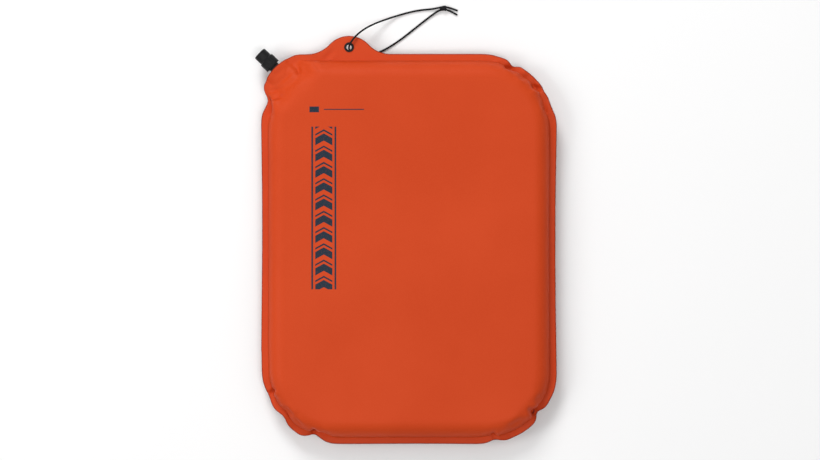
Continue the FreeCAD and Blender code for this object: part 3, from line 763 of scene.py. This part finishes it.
# ---------------------------------------------------------------- cords
FRONT_STRAND = [
    (-63.0, 212.0, 19.0), (-62.8, 213.4, 22.9), (-60.4, 218.0, 24.1), (-54.6, 225.2, 22.4),
    (-45.8, 232.2, 17.2), (-35.2, 237.9, 10.4), (-23.4, 242.6, 4.6), (-11.0, 246.8, 1.3),
    (1.8, 250.4, 1.05), (14.2, 252.6, 1.1), (24.6, 253.3, 1.5), (32.8, 255.0, 3.0),
]
BACK_STRAND = [
    (-63.0, 212.0, 19.0), (-63.2, 210.6, 15.1), (-61.6, 207.6, 10.0), (-57.2, 205.2, 5.4),
    (-50.2, 204.0, 2.1), (-41.2, 204.8, 1.05), (-30.8, 207.9, 1.1), (-19.6, 213.8, 1.05),
    (-6.8, 222.5, 1.1), (6.6, 233.3, 1.05), (18.2, 242.4, 1.15), (26.2, 248.4, 1.6),
    (33.0, 252.7, 2.8),
]
LEFT_TAIL = [(39.3, 255.2, 2.9), (43.2, 254.6, 1.3), (47.4, 253.2, 1.05), (51.5, 251.5, 1.1)]
RIGHT_TAIL = [(39.1, 253.0, 2.7), (42.6, 251.5, 1.25), (46.8, 249.6, 1.05), (51.2, 247.0, 1.1)]
KNOT_CENTRE = (36.2, 254.1, 2.95)
KNOT_SIZE = (3.9, 3.2, 2.9)             # half lengths along x, y and z
KNOT_STEPS = 220


def spline_points(route, name):
    """Points along the smooth NURBS line through a cord's route, given in millimetres."""
    curve = bpy.data.curves.new(name, "CURVE")
    curve.dimensions = "3D"
    curve.resolution_u = 16
    spline = curve.splines.new("NURBS")
    spline.points.add(len(route) - 1)
    for point, place in zip(spline.points, route):
        point.co = (*[c * MM for c in place], 1.0)
    spline.order_u = 3
    spline.use_endpoint_u = True
    holder = bpy.data.objects.new(name, curve)
    bpy.context.scene.collection.objects.link(holder)
    line_mesh = bpy.data.meshes.new_from_object(holder)
    points = np.array([v.co[:] for v in line_mesh.vertices])
    bpy.data.objects.remove(holder)
    bpy.data.curves.remove(curve)
    bpy.data.meshes.remove(line_mesh)
    return points


def even_steps(points, step):
    """The same line with its points an even step apart."""
    gaps = np.linalg.norm(np.diff(points, axis=0), axis=1)
    along = np.r_[0, np.cumsum(gaps)]
    count = max(8, int(along[-1] / step))
    wanted = np.linspace(0, along[-1], count + 1)
    return np.c_[[np.interp(wanted, along, points[:, i]) for i in range(3)]].T, along[-1]


TUBE_SIDES = 20
RING_STEP = 0.35 * MM
BRAID_STRANDS = 4                       # that wind each way round the cord
BRAID_SLANT = 1.15
BRAID_RELIEF = 0.07                     # as a share of the cord's radius
ROUNDED_RINGS = 3                       # over which a bare end is rounded off


def tube_faces(rings, closed):
    """The walls between the rings, and a cap on each open end."""
    faces = []
    for i in range(rings if closed else rings - 1):
        for j in range(TUBE_SIDES):
            k = (j + 1) % TUBE_SIDES
            a, b = i * TUBE_SIDES, (i + 1) % rings * TUBE_SIDES
            faces.append((a + j, b + j, b + k, a + k))
    if not closed:
        faces.append(tuple(range(TUBE_SIDES)))
        faces.append(tuple(range((rings - 1) * TUBE_SIDES, rings * TUBE_SIDES))[::-1])
    return faces


def tube(name, points, radius, material, closed=False):
    """A braided tube along a line: its threads stand out a little, and its open ends are closed."""
    if closed:
        lead = np.roll(points, -1, 0) - np.roll(points, 1, 0)
    else:
        lead = np.gradient(points, axis=0)
    lead /= np.linalg.norm(lead, axis=1)[:, None]
    across = np.cross(lead[0], [0, 0, 1])
    across /= np.linalg.norm(across)
    angles = 2 * np.pi * np.arange(TUBE_SIDES) / TUBE_SIDES
    around = BRAID_STRANDS * angles
    vertices, along_at = [], []
    travelled = 0
    total = len(points)
    for i in range(total):
        across = across - lead[i] * (across @ lead[i])
        across /= np.linalg.norm(across)
        up = np.cross(lead[i], across)
        travelled += np.linalg.norm(points[i] - points[i - 1]) if i else 0
        along = 2 * travelled / radius * BRAID_SLANT
        plait = np.sin(around + along) * np.sin(around - along)
        size = radius * (1 - BRAID_RELIEF / 2 + BRAID_RELIEF * plait)
        if not closed:
            near_end = min(1, min(i, total - 1 - i) / ROUNDED_RINGS)
            size = size * (0.45 + 0.55 * math.sqrt(near_end))
        vertices.append(
            points[i] + size[:, None] * (np.cos(angles)[:, None] * across + np.sin(angles)[:, None] * up))
        along_at.append(np.full(TUBE_SIDES, along))
    piece = add_piece(name, np.vstack(vertices), tube_faces(total, closed), material)
    layer = piece.data.uv_layers.new(name="UVMap")
    u, v = np.tile(around, total), np.concatenate(along_at)
    index = np.array([loop.vertex_index for loop in piece.data.loops])
    layer.data.foreach_set("uv", np.c_[u[index], v[index]].ravel())
    return piece


def make_cord(name, route, material):
    """A cord along its route. Returns the piece, its middle line and its length."""
    points, length = even_steps(spline_points(route, name), RING_STEP)
    piece = tube(name, points, CORD_RADIUS, material)
    return piece, points, length


def make_knot(material):
    """The overhand knot that ties the two strands: a trefoil line pressed into the knot's size."""
    turns = np.linspace(0, 2 * np.pi, KNOT_STEPS, endpoint=False)
    room = (np.array(KNOT_SIZE) * MM - CORD_RADIUS) * 0.98
    out = (1.45 + 0.75 * np.cos(3 * turns)) / 2.2       # from 0.3 to 1 of the room across
    points = np.c_[
        room[0] * np.sin(3 * turns + 0.5),
        room[1] * out * np.cos(2 * turns),
        room[2] * out * np.sin(2 * turns),
    ]
    lean = np.array([[1, 0.25, 0], [-0.12, 1, 0], [0, 0, 1]])
    points = points @ lean.T * 0.94 + np.array(KNOT_CENTRE) * MM
    return tube("cord_knot_turns", points, CORD_RADIUS * 0.97, material, closed=True)


# ---------------------------------------------------------------- stage
CAMERA_PLACE = (1.05 * MM, 20 * MM, 3.25)
LIGHTS = [                              # name, place, size and power
    ("key", (-0.6, 2.2, 1.9), 1.2, 44), ("fill", (-2.2, -0.2, 2.2), 1.4, 26),
    ("overhead", (0.6, -0.6, 3.7), 1.3, 31),
]
LIT_PLACE = (0, 0, 0.02)                # that the lights are aimed at
SKY_LOW = 0.2                           # studio light from the side
SKY_HIGH = 0.6                          # studio light from overhead
FLOOR_HALF = 6.0
FLOOR_Z = -0.05 * MM


def add_camera():
    camera = bpy.data.cameras.new("camera")
    camera.lens = 135
    camera.sensor_width = 36
    camera.clip_end = 20
    holder = bpy.data.objects.new("camera", camera)
    holder.location = CAMERA_PLACE
    bpy.context.scene.collection.objects.link(holder)
    bpy.context.scene.camera = holder


def add_light(name, place, size, power):
    light = bpy.data.lights.new(name, "AREA")
    light.shape = "DISK"
    light.size = size
    light.energy = power
    holder = bpy.data.objects.new(name, light)
    holder.location = place
    holder.rotation_euler = (Vector(LIT_PLACE) - holder.location).to_track_quat("-Z", "Y").to_euler()
    bpy.context.scene.collection.objects.link(holder)


def add_sky():
    """A plain white sky, brighter overhead than at the horizon."""
    world = bpy.data.worlds.new("studio")
    bpy.context.scene.world = world
    world.use_nodes = True
    tree = world.node_tree
    upwards = tree.nodes.new("ShaderNodeSeparateXYZ")
    tree.links.new(tree.nodes.new("ShaderNodeTexCoord").outputs["Generated"], upwards.inputs[0])
    strength = tree.nodes.new("ShaderNodeMapRange")
    strength.inputs["To Min"].default_value = SKY_LOW
    strength.inputs["To Max"].default_value = SKY_HIGH
    tree.links.new(upwards.outputs["Z"], strength.inputs["Value"])
    backdrop = tree.nodes["Background"]
    backdrop.inputs["Color"].default_value = (1, 1, 1, 1)
    tree.links.new(strength.outputs["Result"], backdrop.inputs["Strength"])


def add_stage():
    half = FLOOR_HALF
    corners = [(-half, -half, 0), (half, -half, 0), (half, half, 0), (-half, half, 0)]
    floor = add_piece("floor", corners, [(0, 1, 2, 3)], floor_material(), False)
    floor.location.z = FLOOR_Z
    for light in LIGHTS:
        add_light(*light)
    add_sky()
    bpy.context.scene.view_settings.view_transform = "Standard"


# ---------------------------------------------------------------- the object
def dress_kept_parts():
    """Gives the CAD nodes that stay visible their own materials."""
    black = rgb(20, 20, 21)
    pale = rgb(56, 56, 59)
    nylon = moulded("valve_nylon", black, pale, 0.45, 1500)
    cap = moulded("cap_nylon", rgb(13, 13, 14), rgb(46, 46, 49), 0.5, 1900, 0.3)
    rubber = moulded("seal_rubber", rgb(30, 30, 31), rgb(58, 57, 55), 0.7, 2400)
    enamel = moulded("grommet_enamel", rgb(9, 9, 10), rgb(60, 54, 42), 0.5, 900, 0.1)
    looks = {
        "valve_stem": nylon, "valve_plug": nylon, "valve_cap": cap,
        "stem_seal_ring": rubber, "cap_seal_ring": rubber,
        "grommet_eyelet": enamel, "grommet_washer": enamel,
    }
    for name, material in looks.items():
        mesh = frame["nodes"][name].data
        if not mesh.materials:
            mesh.materials.append(material)
        for index in range(len(mesh.materials)):
            mesh.materials[index] = material


def make_covers_and_foam():
    parts = covers_shape()
    places = settle(parts)
    places[:, 2] += WELD_Z
    under = parts["side"] < 0
    places[under, 2] = np.maximum(places[under, 2], FABRIC)
    body, border, below = parts["body"], parts["border"], parts["below"]
    top = make_cover(
        "top_cover_fabric", places, parts, np.vstack([body, border]),
        cover_fabric("cover_fabric", rgb(195, 63, 18), rgb(190, 60, 16), True), True)
    bottom = make_cover(
        "bottom_cover_fabric", places, parts, np.vstack([below[body], border])[:, ::-1],
        cover_fabric("base_fabric", rgb(150, 48, 30), rgb(138, 42, 27), False), False)
    foam = make_foam(places, parts, foam_material())

    for piece, node, slot in ((top, "top_cover", "cover_fabric"), (bottom, "bottom_cover", "base_fabric")):
        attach(piece, "pad")
        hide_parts(node)
    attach(foam, "pad")
    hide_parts("foam_core")


def make_lashing_cord():
    material = braid_material()
    knot = make_knot(material)
    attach(knot, "pad")
    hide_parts("cord_knot")
    front = ("lashing_cord_front", FRONT_STRAND + LEFT_TAIL, ("cord_front_strand", "cord_tail_left"))
    back = ("lashing_cord_back", BACK_STRAND + RIGHT_TAIL, ("cord_back_strand", "cord_tail_right"))
    for name, route, nodes in (front, back):
        piece, points, length = make_cord(name, route, material)
        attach(piece, "pad")
        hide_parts(*nodes)


add_camera()
make_lashing_cord()
make_covers_and_foam()
dress_kept_parts()
add_stage()
